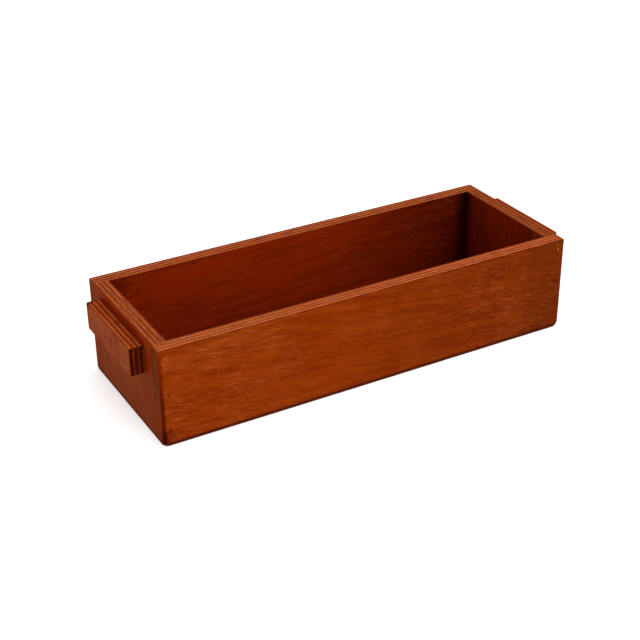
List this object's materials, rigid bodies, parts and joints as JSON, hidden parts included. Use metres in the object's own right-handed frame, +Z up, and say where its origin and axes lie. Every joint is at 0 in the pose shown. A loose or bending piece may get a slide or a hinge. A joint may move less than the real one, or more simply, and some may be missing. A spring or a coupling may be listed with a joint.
{
  "type": "open wooden tool box",
  "caption": "Long open box of stained, varnished plywood with butt-jointed nailed walls, a thin bottom sheet and a cleat handle across each end.",
  "frame": {"origin": "on the surface the box stands on, below the middle of the box", "axes": "+X along the length of the box to the right, +Y to the back, +Z up out of the open top"},
  "size_m": [0.4064, 0.1396, 0.0857],
  "materials": {
    "board": "reddish-brown stained seven-ply board under satin varnish",
    "sheet": "reddish-brown stained three-ply sheet under satin varnish",
    "cleat": "reddish-brown stained seven-ply board, upright grain, under satin varnish",
    "nail": "dull steel, stained over with the wood"
  },
  "bodies": {
    "root": {"front_side": "board", "back_side": "board", "left_end": "board", "right_end": "board", "bottom_sheet": "sheet", "left_handle": "cleat", "right_handle": "cleat", "front_left_nails": "nail", "front_right_nails": "nail", "back_left_nails": "nail", "back_right_nails": "nail", "left_handle_nails": "nail", "right_handle_nails": "nail", "bottom_brads": "nail"}
  },
  "joints": []
}
